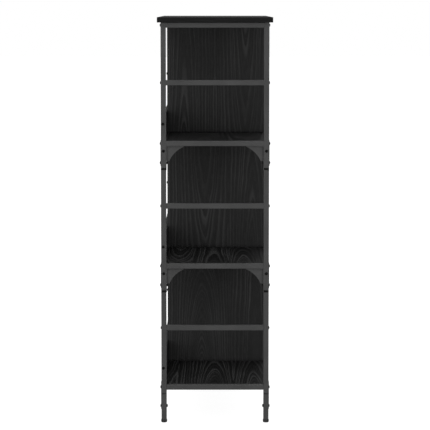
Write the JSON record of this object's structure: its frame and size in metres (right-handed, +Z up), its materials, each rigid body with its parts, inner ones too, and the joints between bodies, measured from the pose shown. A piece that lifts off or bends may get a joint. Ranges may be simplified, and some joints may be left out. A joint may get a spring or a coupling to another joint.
{
  "type": "bookcase",
  "caption": "Tall open bookcase: dark wood-grain boards on square-tube steel end frames, with a middle partition, low back boards, curved corner gussets and levelling feet.",
  "frame": {"origin": "on the floor, under the middle of the top board", "axes": "+Z up; -Y to the front; X along the width, with the left end, seen from the front, at -X"},
  "size_m": [0.785, 0.33, 1.17],
  "materials": {
    "black_oak_board": "particle board with a matt black oak-grain laminate, edges banded to match",
    "powder_coated_steel": "anthracite-black powder coat, fine satin texture",
    "black_bolt_steel": "black oxide steel, slightly oiled",
    "black_plastic": "moulded black polyethylene, fine matt grain",
    "zinc_plated_steel": "bright zinc plate, hidden inside the joints",
    "beech_dowel": "fluted beech dowel, hidden inside the boards"
  },
  "bodies": {
    "bookcase": {"back_board_bolts": "black_bolt_steel", "back_board_lower": "black_oak_board", "back_board_middle": "black_oak_board", "back_board_upper": "black_oak_board", "bar_bolts": "black_bolt_steel", "bar_end_plugs": "zinc_plated_steel", "bolt_nuts": "black_bolt_steel", "bracket_bolts": "black_bolt_steel", "corner_gussets_lower": "powder_coated_steel", "corner_gussets_upper": "powder_coated_steel", "guard_bar_lower_left": "powder_coated_steel", "guard_bar_lower_right": "powder_coated_steel", "guard_bar_middle_left": "powder_coated_steel", "guard_bar_middle_right": "powder_coated_steel", "guard_bar_upper_left": "powder_coated_steel", "guard_bar_upper_right": "powder_coated_steel", "joint_bolts": "black_bolt_steel", "joint_cover_plates": "powder_coated_steel", "leg_end_plugs": "black_plastic", "leg_front_left": "powder_coated_steel", "leg_front_right": "powder_coated_steel", "leg_rear_left": "powder_coated_steel", "leg_rear_right": "powder_coated_steel", "partition_dowels": "beech_dowel", "partition_lower": "black_oak_board", "partition_middle": "black_oak_board", "partition_upper": "black_oak_board", "post_front_left_lower": "powder_coated_steel", "post_front_left_middle": "powder_coated_steel", "post_front_left_upper": "powder_coated_steel", "post_front_right_lower": "powder_coated_steel", "post_front_right_middle": "powder_coated_steel", "post_front_right_upper": "powder_coated_steel", "post_joiners": "black_plastic", "post_rear_left_lower": "powder_coated_steel", "post_rear_left_middle": "powder_coated_steel", "post_rear_left_upper": "powder_coated_steel", "post_rear_right_lower": "powder_coated_steel", "post_rear_right_middle": "powder_coated_steel", "post_rear_right_upper": "powder_coated_steel", "shelf_bar_lower_left": "powder_coated_steel", "shelf_bar_lower_right": "powder_coated_steel", "shelf_bar_middle_left": "powder_coated_steel", "shelf_bar_middle_right": "powder_coated_steel", "shelf_bar_upper_left": "powder_coated_steel", "shelf_bar_upper_right": "powder_coated_steel", "shelf_corner_brackets": "powder_coated_steel", "shelf_lower": "black_oak_board", "shelf_middle": "black_oak_board", "shelf_pins": "zinc_plated_steel", "shelf_upper": "black_oak_board", "top_bar_left": "powder_coated_steel", "top_bar_right": "powder_coated_steel", "top_board": "black_oak_board", "wood_screws": "zinc_plated_steel"},
    "foot_front_left": {"foot_front_left": "black_plastic"},
    "foot_front_right": {"foot_front_right": "black_plastic"},
    "foot_rear_left": {"foot_rear_left": "black_plastic"},
    "foot_rear_right": {"foot_rear_right": "black_plastic"}
  },
  "joints": [
    {"name": "foot_front_left_screw", "type": "slide", "parent": "bookcase", "child": "foot_front_left", "axis": [0, 0, -1], "range_m": [0, 0.01]},
    {"name": "foot_front_right_screw", "type": "slide", "parent": "bookcase", "child": "foot_front_right", "axis": [0, 0, -1], "range_m": [0, 0.01]},
    {"name": "foot_rear_left_screw", "type": "slide", "parent": "bookcase", "child": "foot_rear_left", "axis": [0, 0, -1], "range_m": [0, 0.01]},
    {"name": "foot_rear_right_screw", "type": "slide", "parent": "bookcase", "child": "foot_rear_right", "axis": [0, 0, -1], "range_m": [0, 0.01]}
  ]
}
